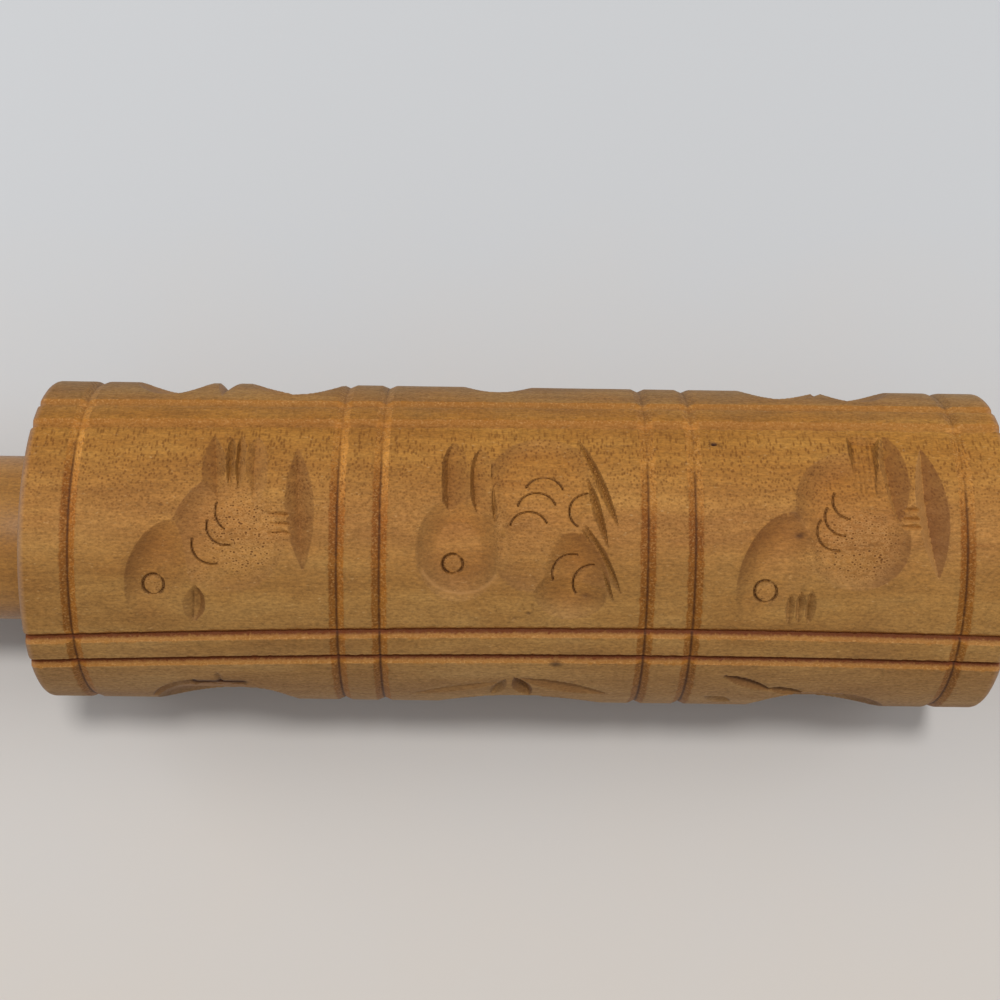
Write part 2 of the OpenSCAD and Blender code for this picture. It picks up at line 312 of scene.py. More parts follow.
# %% [markdown]
# ## The roller, unrolled
# The roller's skin is easiest to carve flat. It is made as a sheet whose vertices hold three plain numbers:
# the place along the axle, the distance round the roller, and the radius. Wrapping it up comes later.
# The lines of the sheet lie close together on the row of pictures that faces up, and some fall exactly on the
# edges and floors of the V grooves, so that those come out crisp. The long grooves lean a little off the axle
# and those on the near side sag at their ends, as lines cut by eye do, and the sheet follows them.

# %% Measure the roller and rule its lines
ROLLER_END = 83
RIM_ROUND = 0.9
RING_GROOVES = (-74.65, -30.15, -23.05, 21.65, 29.55, 74.8)
RING_WIDE = 2.7
RING_DEEP = 0.55
LONG_WIDE = 2.3
LONG_DEEP = 1.15
BAR_WIDE = 5.9
LEAN = math.tan(math.radians(0.7))
SAG = 2.9e-4
SAG_MIDDLE = 6
SAG_REACH = 38
GIRTH = 2 * math.pi * ROLLER_R
ROWS = 4
ROW_WIDE = GIRTH / ROWS
PANEL_PITCH = 52.33
PANEL_SHIFTS = (-0.15, -0.55, -0.55)
PANEL_HALF = 21.2
ROW_HALF = 18.2
FINE = 0.2
PLAIN = 0.42
FINE_ALONG = 73
FINE_AROUND = 19


def rule_lines(marks, step_at):
    lines = []
    for low, high in zip(marks[:-1], marks[1:]):
        count = math.ceil((high - low) / step_at((low + high) / 2))
        lines.extend(low + (high - low) * i / count for i in range(count))
    lines.append(marks[-1])
    return np.array(lines)


def groove_marks(middles, wide):
    return [middle + offset for middle in middles for offset in (-wide / 2, 0, wide / 2)]


def along_lines():
    end = ROLLER_END - RIM_ROUND
    marks = [-end] + groove_marks(RING_GROOVES, RING_WIDE) + [end]
    return rule_lines(marks, lambda place: FINE if abs(place) < FINE_ALONG else FINE * 1.5)


def around_lines():
    reach = GIRTH / 2
    grooves = []
    for row in range(ROWS + 1):
        middle = (row - ROWS / 2) * ROW_WIDE
        grooves += [middle - ROW_WIDE / 2 + BAR_WIDE / 2, middle + ROW_WIDE / 2 - BAR_WIDE / 2]
    marks = [place for place in groove_marks(grooves, LONG_WIDE) if abs(place) < reach - FINE]
    marks = [-reach] + marks + [reach]
    return rule_lines(marks, lambda place: FINE if abs(place) < FINE_AROUND else PLAIN)[:-1]


def true_arc(place, arc):
    sag = SAG * ((place - SAG_MIDDLE) ** 2 - SAG_REACH ** 2)
    return arc + place * LEAN - sag * (0.5 - 0.5 * np.sin(arc / ROLLER_R))


along = along_lines()
around = around_lines()
print("the sheet has", len(along), "lines along the roller and", len(around), "round it")

# %% [markdown]
# ## The carver's strokes
# A springerle carver uses a few tools again and again. A broad gouge scoops a round hollow with one steep
# side, a V tool cuts a pointed leaf, and a bent blade is pressed in to draw an arc. Where the V tool works
# against the fibres it leaves a raw, darker face, and where it lifts them a pale one; the same darker and
# paler tones also carry painted shade on faces turned from the light and painted light on faces turned
# towards it. A flat chisel clears a strip and a point pricks fields of fine dots. The blade marks are painted
# dark as shade in their slits, and pale lines along some rims of the hollows are painted highlights.
# Each cut could be a solid that a Boolean takes away, but dozens of those are slow and leave ragged faces. So
# each stroke below is a rule that gives a depth for every point of a panel. Where two strokes cross, the
# deeper one wins, as it does in wood.

# %% Strokes
class Panel:
    def __init__(self, across, up):
        self.across = across
        self.up = up
        self.deep = np.zeros(across.shape)
        self.knife = np.zeros(across.shape)
        self.raw = np.zeros(across.shape)
        self.dots = np.zeros(across.shape)

    def turned(self, centre, degrees):
        turn = math.radians(degrees)
        side = self.across - centre[0]
        rise = self.up - centre[1]
        return side * math.cos(turn) + rise * math.sin(turn), rise * math.cos(turn) - side * math.sin(turn)

    def oval(self, centre, long, wide, turn):
        length, breadth = self.turned(centre, turn)
        return np.hypot(2 * length / long, 2 * breadth / wide)

    def line(self, start, end):
        turn = math.degrees(math.atan2(end[1] - start[1], end[0] - start[0]))
        run, aside = self.turned(start, turn)
        return math.dist(start, end), run, aside

    def sink(self, depth, face=None):
        if face is not None:
            self.raw = np.where(depth > self.deep, face, self.raw)
        self.deep = np.maximum(self.deep, depth)

    def hollow(self, centre, long, wide, turn=0, deep=1.5, steep=135, bias=0.5, wall=3.0, curve=1.0, raw=0.3):
        spread = self.oval(centre, long, wide, turn)
        inside = np.clip((1 - spread) * min(long, wide) / 2 / wall, 0, 1)
        toward, _ = self.turned(centre, steep)
        rise = np.clip(1 - bias / 2 + bias * toward / min(long, wide), 0, 1)
        depth = deep * inside * (1 + curve - curve * inside) * rise
        # The steep wall of a hollow gets the darker tone of a raw face, which here is also painted shade on
        # the wall turned from the light. A negative level paints it paler, as painted light.
        self.sink(depth, raw * (1 - 0.7 * inside) * np.clip(2.5 * rise - 1.4, 0, 1))

    def strip(self, start, end, wide, deep, wall=0.8):
        length, run, aside = self.line(start, end)
        inner = np.minimum(wide / 2 - np.abs(aside), np.minimum(run / 6, length - run))
        self.sink(deep * np.clip(inner / wall, 0, 1))

    def leaf(self, start, end, wide, deep=1.2, keel=0.0, blunt=2.0, raw=(0.3, 0.3)):
        length, run, aside = self.line(start, end)
        share = np.clip(1 - np.abs(2 * run / length - 1) ** blunt, 0, 1)
        half = np.maximum(wide / 2 * share, 0.001)
        left = (half - aside) / (half * (1 - keel))
        right = (half + aside) / (half * (1 + keel))
        depth = deep * share * np.clip(np.minimum(left, right), 0, 1)
        # Each side of a leaf gets its own tone. It is darker for a raw face and also as painted shade on a
        # side turned from the light; negative values paint it pale, as a lifted face and as painted light.
        self.sink(depth, np.where(left < right, raw[0], raw[1]))

    # The dark tone of a blade mark is painted shade in its narrow slit.
    def mark(self, gap, wide, deep, line_shade):
        cut = np.clip(1 - 2 * gap / wide, 0, 1)
        self.deep = self.deep + deep * cut
        self.knife = np.maximum(self.knife, line_shade * cut)

    def arc_gap(self, centre, radius, first, last):
        side = self.across - centre[0]
        rise = self.up - centre[1]
        swing = np.degrees(np.arctan2(rise, side)) - (first + last) / 2
        swing = (swing + 180) % 360 - 180
        gap = np.abs(np.hypot(side, rise) - radius)
        beyond = np.abs(swing) > (last - first) / 2
        for end in (math.radians(first), math.radians(last)):
            from_tip = np.hypot(side - radius * math.cos(end), rise - radius * math.sin(end))
            gap = np.where(beyond, np.maximum(gap, from_tip), gap)
        return gap

    def arc(self, centre, radius, first, last, wide=0.4, deep=0.33, line_shade=1.0):
        self.mark(self.arc_gap(centre, radius, first, last), wide, deep, line_shade)

    # A pale line along a rim with a small raised ridge: a painted highlight where the rim catches the light.
    def lit_rim(self, centre, radius, first, last, wide=0.9, level=0.6):
        line = level * np.clip(1.4 - 2.8 * self.arc_gap(centre, radius, first, last) / wide, 0, 1)
        self.raw = self.raw - line
        self.deep = np.maximum(self.deep - 0.2 * line, 0)

    def score(self, start, end, wide=0.5, deep=0.3, line_shade=0.7):
        length, run, aside = self.line(start, end)
        past = np.clip(np.maximum(-run, run - length), 0, None)
        self.mark(np.hypot(aside, past), wide, deep, line_shade)

    def prick(self, centre, long, wide, turn=0, level=1.0):
        inside = 1 - self.oval(centre, long, wide, turn)
        self.dots = np.maximum(self.dots, level * np.clip(2.5 * inside, 0, 1))


print("strokes:", [name for name in vars(Panel) if not name.startswith("_")])

# %% [markdown]
# ## The pictures that face up
# Two birds and a rabbit, of the kind that has been cut into such pins for centuries. They could be sculpted
# by hand, but as written strokes they are easy to move and to change. Each is a handful of strokes, placed in
# millimetres from the middle of its panel.

# %% Small bird
def eye(cut, at, radius):
    cut.arc(at, radius, 70, 250, wide=0.55, deep=0.45)
    cut.arc(at, radius, 250, 300, wide=0.35, deep=0.25, line_shade=0.4)
    cut.arc(at, radius, 300, 395, wide=0.5, deep=0.4, line_shade=0.9)
    cut.arc(at, radius, 395, 430, wide=0.35, deep=0.25, line_shade=0.4)
    cut.prick(at, 2.8 * radius, 2.6 * radius, level=0.5)


def small_bird(cut):
    cut.hollow((-6.4, -8.8), 18.2, 11.8, 68, deep=1.75, steep=142, bias=0.85, wall=3.8, curve=0.5, raw=0.6)
    cut.hollow((3.6, -1.8), 21.8, 16.8, 62.8, deep=1.5, steep=152.8, bias=0.75, wall=4.4, curve=0.4, raw=0.6)
    cut.hollow((4.8, -3.2), 18, 18, 0, deep=0.6, steep=312, bias=1.0, wall=2.6, curve=0.5, raw=0.25)
    cut.leaf((2.6, -1.6), (1.0, 15.6), 4.2, deep=1.1, keel=-0.1, blunt=2.6, raw=(0.5, -0.1))
    cut.leaf((4.7, -1), (4.1, 15.3), 1.8, deep=0.8, keel=0.3, blunt=5, raw=(0.15, -0.1))
    cut.leaf((6.3, -1), (5.7, 15.8), 1.9, deep=0.8, keel=0.4, blunt=5, raw=(0.15, -0.2))
    cut.leaf((8.9, -0.6), (8.3, 15.6), 3.8, deep=0.9, keel=0.2, blunt=4, raw=(-0.1, -0.2))
    cut.leaf((16.9, -8.6), (15.3, 13.2), 4.8, deep=1.3, keel=0.1, raw=(0.42, 0.35))
    for rise in (0.9, -0.7, -2.2):
        cut.leaf((10.0, rise), (15, rise - 0.1), 1.2, deep=0.6, keel=0.2, blunt=5, raw=(0.4, -0.4))
    cut.leaf((-1.1, -11.0), (-1.6, -17.8), 3.8, deep=1.0, keel=0.5, blunt=2.4, raw=(0.7, 0.25))
    cut.score((-1.3, -12.4), (-1.5, -17), wide=0.6, deep=0.15, line_shade=0.25)
    cut.arc((6.0, 1.7), 4.0, 158, 236)
    cut.arc((4.0, -1.0), 3.35, 162, 282)
    cut.arc((1.7, -4.2), 3.4, 163, 286)
    eye(cut, (-8.1, -11.3), 1.75)
    cut.prick((7, -2.2), 17, 18)
    cut.prick((1.4, -9), 10, 6, level=0.4)


print("drawn:", small_bird.__name__)


# %% Rabbit
def rabbit(cut):
    cut.hollow((-9.3, -4.5), 17.8, 14.4, 90, deep=1.8, steep=150, bias=0.25, wall=3.4, curve=0.4, raw=-0.2)
    cut.leaf((-9.5, -2.4), (-10.3, 15), 4.7, deep=1.15, keel=0.6, blunt=3.6, raw=(0.4, 0.2))
    cut.leaf((-4.9, -1.2), (-5.7, 13.9), 4.5, deep=1.1, keel=0.7, blunt=3, raw=(0.4, -0.05))
    cut.leaf((-3.2, -0.6), (-3.4, 8.6), 1.5, deep=0.8, keel=0.5, raw=(0.2, 0))
    cut.hollow((4.6, 6.7), 18.6, 18.2, 0, deep=1.1, steep=125, bias=0.6, wall=3, curve=0.5, raw=0.35)
    cut.hollow((2.6, -5), 12.5, 13, 0, deep=0.65, steep=180, bias=0.2, wall=3.5)
    cut.hollow((9.8, -8), 12.6, 13, 0, deep=1.9, steep=40, bias=0.5, wall=4.6, curve=0.5, raw=0.9)
    cut.hollow((9.4, -11.2), 12.4, 10.4, 0, deep=1.6, steep=270, bias=0.2, wall=4.2, curve=0.6, raw=0.25)
    for start, end, wide in (
        ((17.3, -0.8), (10.4, 16.2), 1.7),
        ((15.6, -4.4), (10.6, 12), 1.7),
        ((17.9, -12), (11.4, 0.2), 1.8),
        ((16.7, -13.4), (11.0, -0.4), 1.5),
    ):
        cut.leaf(start, end, wide, deep=0.9, keel=-0.4, raw=(0.1, 0.25))
    cut.arc((4.8, 5.1), 3.3, 18, 158)
    cut.arc((3.6, 2.2), 3.3, 20, 165)
    cut.arc((2.3, -1.1), 3.2, 22, 168)
    cut.arc((12.2, 2.2), 3.2, 92, 236)
    cut.arc((9.6, -8.4), 3.3, 74, 204)
    cut.arc((13.2, -10.3), 3.4, 86, 214)
    # Painted highlights along the lit lower and right rim of the rabbit's head.
    cut.lit_rim((-9, -5.2), 6.9, 205, 330, wide=0.8, level=0.5)
    cut.lit_rim((-9, -4.6), 7.7, -25, 30, wide=1.4, level=0.3)
    cut.score((-3.9, 8.2), (-3.9, 10.6), wide=0.6, line_shade=0.5)
    for start in ((-3.2, -14.2), (1.4, -13.8), (3, -13.8)):
        cut.score(start, (start[0] + 0.3, start[1] - 1), wide=0.45, deep=0.12, line_shade=0.2)
    cut.score((15.4, 14.4), (19.2, 14.6), wide=0.35, deep=0.15, line_shade=0.6)
    eye(cut, (-10.3, -7.1), 1.7)
    cut.prick((-2.3, -1), 3, 14, level=0.4)
    cut.prick((2, -3), 14, 14, level=0.3)


print("drawn:", rabbit.__name__)


# %% Large bird
def large_bird(cut):
    cut.hollow((-8.6, -7.7), 21.2, 12.4, 70, deep=1.8, steep=128, bias=0.85, wall=3.8, curve=0.5, raw=0.85)
    cut.hollow((4.4, 3.8), 20.2, 20.2, 0, deep=1.5, steep=150, bias=0.75, wall=4.2, curve=0.4, raw=0.4)
    cut.hollow((4.4, -2.6), 17, 15.6, 0, deep=1.0, steep=160, bias=0.3, raw=0)
    cut.hollow((4.8, -2.2), 17.4, 16.6, 0, deep=1.2, steep=328, bias=1.2, wall=3.4, curve=0.3, raw=0.6)
    cut.strip((5.9, 1), (6.8, 17.4), 5.6, deep=1.05, wall=1.0)
    cut.leaf((12.0, 0), (10.3, 17.8), 5.0, deep=1.3, keel=0.3, blunt=2.8, raw=(-0.3, 0.7))
    cut.leaf((18.2, -8.6), (16.2, 15.0), 5.4, deep=1.4, keel=0.3, raw=(-0.6, 0.85))
    for rise in (3.2, 1.6, 0.2):
        cut.leaf((11.4, rise), (15.8, rise - 0.1), 1.2, deep=0.6, keel=0.2, blunt=5, raw=(0.4, -0.4))
    for side, low in ((-6.0, -16.8), (-4.4, -16.6), (-2.7, -16.8)):
        cut.leaf((side, -10.4), (side - 0.3, low), 1.9, deep=0.8, keel=-0.3, raw=(0.25, -0.4))
    for centre, radius, first, last in (
        ((4, 4.8), 3.2, 150, 262),
        ((2.7, 2), 3.3, 148, 272),
        ((1.3, -0.6), 3.3, 140, 278),
    ):
        cut.arc(centre, radius, first, last, wide=0.45, deep=0.32, line_shade=0.8)
    for side in (4.8, 5.7, 6.5, 7.4, 8.2):
        cut.score((side, 6.2), (side + 0.1, 17.2), wide=0.5, deep=0.1, line_shade=0.12)
    eye(cut, (-10.4, -11.1), 1.85)
    cut.prick((4.8, -3), 17, 15, 20)
    cut.prick((-1, -6), 12, 9, level=0.4)


print("drawn:", large_bird.__name__)

# %% [markdown]
# ## The pictures on the other sides
# Only their edges can be seen from above: a dip in the outline, the tip of a leaf, a stalk. The rest follows
# the same tradition: fruit, flowers, a fish and a butterfly, cut with the same tools.

# %% Fruit on the near side
def apple(cut):
    cut.hollow((1.4, -0.3), 25, 22.6, 0, deep=2.3, steep=90, bias=0.2, wall=3.6)
    cut.leaf((1.6, 10.6), (1.2, 15), 1.5, deep=0.35, blunt=3, raw=(0.1, 0.1))
    cut.leaf((-11.6, 2.8), (-2.4, 12.6), 5, deep=1.3, keel=0.4, raw=(0.4, 0.5))
    # This dark line is a painted shadow under the lip at the top of the apple's hollow.
    cut.score((-3.2, 11.25), (5.4, 11.45), wide=1.9, deep=0.35, line_shade=1.3)
    cut.arc((1.4, 6.8), 3.2, 200, 340)


def strawberry(cut):
    cut.hollow((1.6, -0.8), 29, 15.6, 0, deep=1.3, steep=90, bias=0.2)
    cut.hollow((0, -7.6), 15, 12, 90, deep=1.4, steep=90, bias=0.2)
    cut.leaf((1.2, 14.2), (17, 8.4), 3.4, deep=1.1, keel=0.6, raw=(1, 0.6))
    cut.leaf((-1.2, 13.2), (-18, 7.2), 2.2, deep=0.5, keel=-0.6)
    cut.leaf((-1, 14), (-3.6, 7.6), 2.2, deep=0.8, raw=(0.2, 0.2))
    cut.leaf((0.4, 14.6), (3.2, 7.4), 3.2, deep=1.6, raw=(0.7, 0.6))
    for row in range(5):
        for seed in range(-2, 3):
            side = seed * 3 + (row % 2) * 1.5 - 0.7
            rise = 3 - row * 3
            if math.hypot(side / 7, (rise + 3) / 9) < 1:
                cut.score((side, rise), (side, rise - 0.9), wide=0.6, deep=0.35)


def peach(cut):
    cut.hollow((2.3, -0.6), 24.6, 22, 0, deep=2.4, steep=110, bias=0.2, wall=3.6)
    cut.leaf((-16, 16), (-7.0, 11), 2.6, deep=1.0, keel=0.6, raw=(1, 0.8))
    cut.leaf((-8, 12), (-0.6, 9.4), 2.6, deep=1.0, keel=0.5, raw=(0.9, 0.7))
    cut.leaf((-18.4, 7.8), (-13.4, 4.4), 3.4, deep=1, keel=0.3)
    cut.score((-15.6, 15.6), (-7.4, 11.4), wide=1.0, deep=0.3, line_shade=0.8)
    cut.score((-7.6, 11.4), (-1, 9.8), wide=0.9, deep=0.3, line_shade=0.7)
    cut.arc((7, 1), 8.4, 120, 235)
    cut.prick((0, -2), 12, 10)


print("drawn:", [picture.__name__ for picture in (apple, strawberry, peach)])


# %% Butterfly, acorn and cherries on the far side
def butterfly(cut):
    cut.hollow((-9, -6), 21.4, 13.4, 90, deep=2.3, steep=90, bias=0.1, wall=3.6, raw=-0.7)
    cut.hollow((13, -6), 20, 17, 90, deep=2.2, steep=90, bias=0.1, wall=3.6, raw=-0.7)
    for side in (-1, 1):
        cut.hollow((1.6 + side * 9.4, 9.6), 14, 11, 90 - side * 35, deep=1.4, steep=90 - side * 60, bias=0.3)
        cut.arc((1.6 + side * 9.6, 9.8), 2.4, 0, 359)
        cut.arc((1.6 + side * 10.6, -4.6), 1.8, 0, 359)
        cut.score((1.2 + side * 0.8, 12), (1.2 + side * 4, 17))
    cut.leaf((0.6, -17.4), (0.8, 13.4), 4.2, deep=2.2, raw=(-0.5, -0.5))


def acorn(cut):
    cut.hollow((-3, -4), 18, 12.8, 90, deep=1.4, steep=120, bias=0.3)
    cut.hollow((-3, 6.4), 17, 8.4, 0, deep=1.3, steep=90, bias=0.3)
    cut.leaf((-3, 9), (-2.2, 16.4), 1.6, deep=0.6, blunt=3)
    cut.leaf((0.6, 11), (15.4, 14), 5, deep=1.2, keel=0.2)
    for line in range(-3, 4):
        middle = -3 + line * 2.2
        for slant in (-1, 1):
            cut.score((middle + slant, 4.2), (middle - slant, 8.6), wide=0.5, deep=0.25)


def cherries(cut):
    cut.hollow((-4.4, -6), 18, 15.4, 90, deep=1.9, steep=90, bias=0.1, wall=3.6, raw=-0.5)
    cut.hollow((8.2, -6), 19.6, 13.4, 90, deep=2.1, steep=90, bias=0.1, wall=3.6, raw=-0.5)
    for side in (-1, 1):
        cut.leaf((1.8 + side * 5, 2.4), (1.6 + side * 0.4, 15), 1.5, deep=0.7, blunt=4)
        cut.arc((1 + side * 6.2, -5), 3.2, 100, 190)
    cut.leaf((2.8, 15), (17.6, 10.6), 5, deep=1.2, keel=0.3)
    cut.score((4.6, 14.4), (15.8, 11), wide=0.5, deep=0.25)


print("drawn:", [picture.__name__ for picture in (butterfly, acorn, cherries)])


# %% Flowers and fish underneath
def tulip(cut):
    cut.hollow((0, 5), 13, 11.6, 90, deep=1.4, steep=90, bias=0.2)
    for side in (-1, 1):
        cut.leaf((side * 2.4, 1.6), (side * 7, 15.4), 5, deep=1.3, keel=side * 0.3)
        cut.leaf((side, -16.4), (side * 12.6, -1.6), 5.2, deep=1.2, keel=-side * 0.3)
        cut.score((side * 2.4, -13.6), (side * 10.8, -3.6), wide=0.5, deep=0.25)
    cut.leaf((0, -17), (0, 0.6), 1.7, deep=0.7, blunt=4)


def fish(cut):
    cut.hollow((-2.4, 0), 24, 13.6, 0, deep=1.5, steep=90, bias=0.2)
    for side in (-1, 1):
        cut.leaf((8.8, side * 0.8), (17.8, side * 10), 5, deep=1.2, keel=side * 0.3)
    cut.leaf((-5, 7), (6, 11.6), 3.6, deep=1.1, keel=0.3)
    for column in range(4):
        for row in range(-2 + column // 3, 3 - column // 3):
            cut.arc((-4.6 + column * 2.9, row * 2.2), 1.4, 110, 250, wide=0.5, deep=0.3)
    eye(cut, (-10, 1), 1.5)


def daisy(cut):
    for petal in range(8):
        turn = math.radians(22.5 + 45 * petal)
        inner = (5.2 * math.cos(turn), 5.2 * math.sin(turn))
        outer = (16.8 * math.cos(turn), 16.8 * math.sin(turn))
        cut.leaf(inner, outer, 5.4, deep=1.3, blunt=2.4)
    cut.hollow((0, 0), 9, 9, 0, deep=1.2, bias=0)
    for line in range(-1, 2):
        cut.score((-3, line * 1.6), (3, line * 1.6), wide=0.5, deep=0.25)
        cut.score((line * 1.6, -3), (line * 1.6, 3), wide=0.5, deep=0.25)


print("drawn:", [picture.__name__ for picture in (tulip, fish, daisy)])

# %% [markdown]
# ## Cutting the panels
# Each picture is cut into the points of the sheet that lie in its panel. The depths, the blade marks with
# their painted shade, the raw faces with their painted shade and light, and the dots are kept as attributes
# of the sheet's vertices, and one more holds the few stains and pinholes of old wood.

# %% Carve the sheet
PICTURES = (
    (small_bird, rabbit, large_bird),
    (butterfly, acorn, cherries),
    (tulip, fish, daisy),
    (apple, strawberry, peach),
)
STAINS = (
    (6.8, -26.3, 1.0, 1.0, 0.15),
    (33, 15.3, 0.55, 1.6, 0.45),
    (34, 15, 0.6, 0.5, 0.1),
    (46.8, -1.3, 0.8, 0.8, 0.1),
    (46.4, 2.2, 1.2, 0.35, 0),
    (-59.3, 2.3, 0.4, 0.7, 0.2),
    (11.4, -12.4, 0.7, 0.6, 0.1),
    (1.9, -15.4, 0.35, 0.8, 0.2),
    (-0.4, -16.3, 0.3, 0.6, 0.2),
)


def carve():
    place, arc = np.meshgrid(along, around, indexing="ij")
    arc = true_arc(place, arc)
    kept = {name: np.zeros(place.shape) for name in ("deep", "knife", "raw", "dots", "stain")}
    for row, pictures in enumerate(PICTURES):
        up = (arc - row * ROW_WIDE + GIRTH / 2) % GIRTH - GIRTH / 2
        for number, picture in enumerate(pictures):
            across = place - (number - 1) * PANEL_PITCH - PANEL_SHIFTS[number]
            inside = (np.abs(across) < PANEL_HALF) & (np.abs(up) < ROW_HALF)
            panel = Panel(across[inside], up[inside])
            picture(panel)
            for name in ("deep", "knife", "raw", "dots"):
                kept[name][inside] = getattr(panel, name)
    for side, rise, radius, level, pit in STAINS:
        gap = np.hypot((place - side) / 1.5, arc - rise) / radius
        share = np.clip(1 - gap, 0, 1)
        kept["stain"] = np.maximum(kept["stain"], level * share)
        kept["deep"] += pit * share
    return kept


carving = carve()
deep = carving["deep"]
print("deepest cut", round(float(deep.max()), 2), "mm over", int((deep > 0.05).sum()), "points")

# %% [markdown]
# ## From sheet to solid
# A roller with a hole through it closes on itself both ways round, like a ring doughnut. So the sheet goes on
# past each rim: down the end face, into the seat of the bush and along the hole to the other end. The same
# kind of sheet will serve for the handles.

# %% Make a sheet of rings
def make_sheet(name, rings, lines, attributes):
    count = len(lines)
    total = len(rings)
    points = np.empty((total, count, 3))
    points[:, :, 0] = np.array([ring[0] for ring in rings])[:, None] * MM
    points[:, :, 1] = lines[None, :] * MM
    points[:, :, 2] = np.array([ring[1] for ring in rings])[:, None] * MM
    index = np.arange(total * count).reshape(total, count)
    beside = np.roll(index, -1, axis=1)
    faces = np.stack(
        (index, np.roll(index, -1, axis=0), np.roll(beside, -1, axis=0), beside), axis=-1
    )
    mesh = bpy.data.meshes.new(name)
    mesh.vertices.add(total * count)
    mesh.loops.add(faces.size)
    mesh.polygons.add(total * count)
    mesh.vertices.foreach_set("co", points.ravel())
    mesh.loops.foreach_set("vertex_index", faces.ravel().astype(np.int32))
    mesh.polygons.foreach_set("loop_start", np.arange(0, faces.size, 4, dtype=np.int32))
    mesh.update(calc_edges=True)
    for label, values in attributes.items():
        layer = mesh.attributes.new(label, "FLOAT", "POINT")
        layer.data.foreach_set("value", np.ascontiguousarray(values, dtype=np.float32).ravel())
    return stand(name, mesh)


# %% Rule the roller's rings
END_FACE = (24, 19, 15)
SEAT_R = 11
SEAT_PLACE = 80.4
SLEEVE_R = 7.55
SLEEVE_PLACE = 64.4
CORE_R = 6
RIM_STEPS = 4


def round_edge(end, radius, size, steps):
    turns = [math.radians(90 * step / steps) for step in range(1, steps + 1)]
    return [(end - size * (1 - math.sin(turn)), radius - size * (1 - math.cos(turn))) for turn in turns]


def end_rings(side):
    rings = round_edge(ROLLER_END, ROLLER_R, RIM_ROUND, RIM_STEPS)
    rings += [(ROLLER_END, radius) for radius in (*END_FACE, SEAT_R)]
    rings += [(SEAT_PLACE, SEAT_R), (SEAT_PLACE, SLEEVE_R)]
    rings += [(SLEEVE_PLACE, SLEEVE_R), (SLEEVE_PLACE, CORE_R)]
    return [(side * place, radius) for place, radius in rings]


def roller_sheet():
    right = end_rings(1)
    left = end_rings(-1)[::-1]
    rings = [(place, ROLLER_R) for place in along] + right + left
    skin = np.zeros(len(rings))
    skin[: len(along) + RIM_STEPS] = 1
    skin[-RIM_STEPS:] = 1
    blank = np.zeros((len(right) + len(left), len(around)))
    attributes = {name: np.vstack((values, blank)) for name, values in carving.items()}
    attributes["skin"] = np.repeat(skin[:, None], len(around), axis=1)
    return make_sheet("carved_roller", rings, around, attributes)


roller = roller_sheet()
print("the roller's sheet has", len(roller.data.polygons), "faces")

# %% [markdown]
# ## Wood
# The pin is turned from a fine pale hardwood that has darkened to a golden brown. A picture of wood wrapped
# round it would stretch at the ends. So the wood is painted solid: the pattern is worked out in three
# dimensions from Object coordinates, the grain runs through the piece, and the ends show end grain by
# themselves.
# Three things make the figure. Growth rings lie in curved sheets round a heart far off to one side. Fine
# streaks run along the axle. Rays are thin plates that point to the heart: where the surface cuts across them
# they are dots, and where it runs along them they turn into short bars.
# A face that is cut across the fibres shows their ends and looks darker, so the colour also follows how far
# the face is turned towards the axle. That darkens the sides of the leaves and the ends of the pin.

# %% Fibres, their ends and the rays
END_TINTS = ((0.08, 1.0), (0.6, 0.68), (1, 0.55))
RAY_SIZE = (0.56, 0.3, 2.4)
RAY_DRIFT_SIZE = (14, 4, 4)
RAY_DRIFT = 14
RAY_ZONE = (26, 34)


def wood_space(tree, heart_turn, heart_gap):
    in_mm = put(tree, "ShaderNodeVectorMath", {0: coordinates(tree), "Scale": 1000}, operation="SCALE")
    turn = {"Vector": in_mm, "Angle": math.radians(heart_turn)}
    turned = put(tree, "ShaderNodeVectorRotate", turn, rotation_type="X_AXIS")
    _, across, outward = parts_of(turned)
    outward = outward + heart_gap
    return turned, across, reckon("SQRT", across * across + outward * outward)


def end_grain(tree):
    along_fibre, _, _ = parts_of(coordinates(tree, "Normal"))
    return ramp(abs(along_fibre), END_TINTS)


def rays(tree, turned, across, level):
    plate = ramp(cells(turned, RAY_SIZE), ((0.2, 1.0), (0.44, 0.0)))
    drift = noise(turned, RAY_DRIFT_SIZE, 3, 0.6) * RAY_DRIFT
    zone = mapped(abs(across) + drift, *RAY_ZONE, (0.1, level))
    _, back, _ = parts_of(coordinates(tree))
    calm = ramp(back * 30, ((0.45, 1), (0.53, 0.3)))
    return reckon("MULTIPLY", plate * zone, calm, clamp=True)


print("rays are cells of", RAY_SIZE, "mm")

# %% Wood grain
PATCH_SIZE = (22, 6, 6)
WANDER_SIZE = (40, 8, 8)
WANDER = 5
RING_RATE = 2.4
RING_SHARE = 0.14
STREAK_SIZE = (4, 0.3, 0.3)
STREAK_SHARE = 0.8
STREAK_TINTS = ((0.3, 0.84), (0.5, 1.0), (0.7, 1.12))
SPECK_SIZE = (0.75, 0.42, 0.42)
SPECK_TINTS = ((0.3, 0.72), (0.5, 1.0), (0.7, 1.24))
RAY_DEPTH = 0.4
FIBRE_BUMP = 0.1


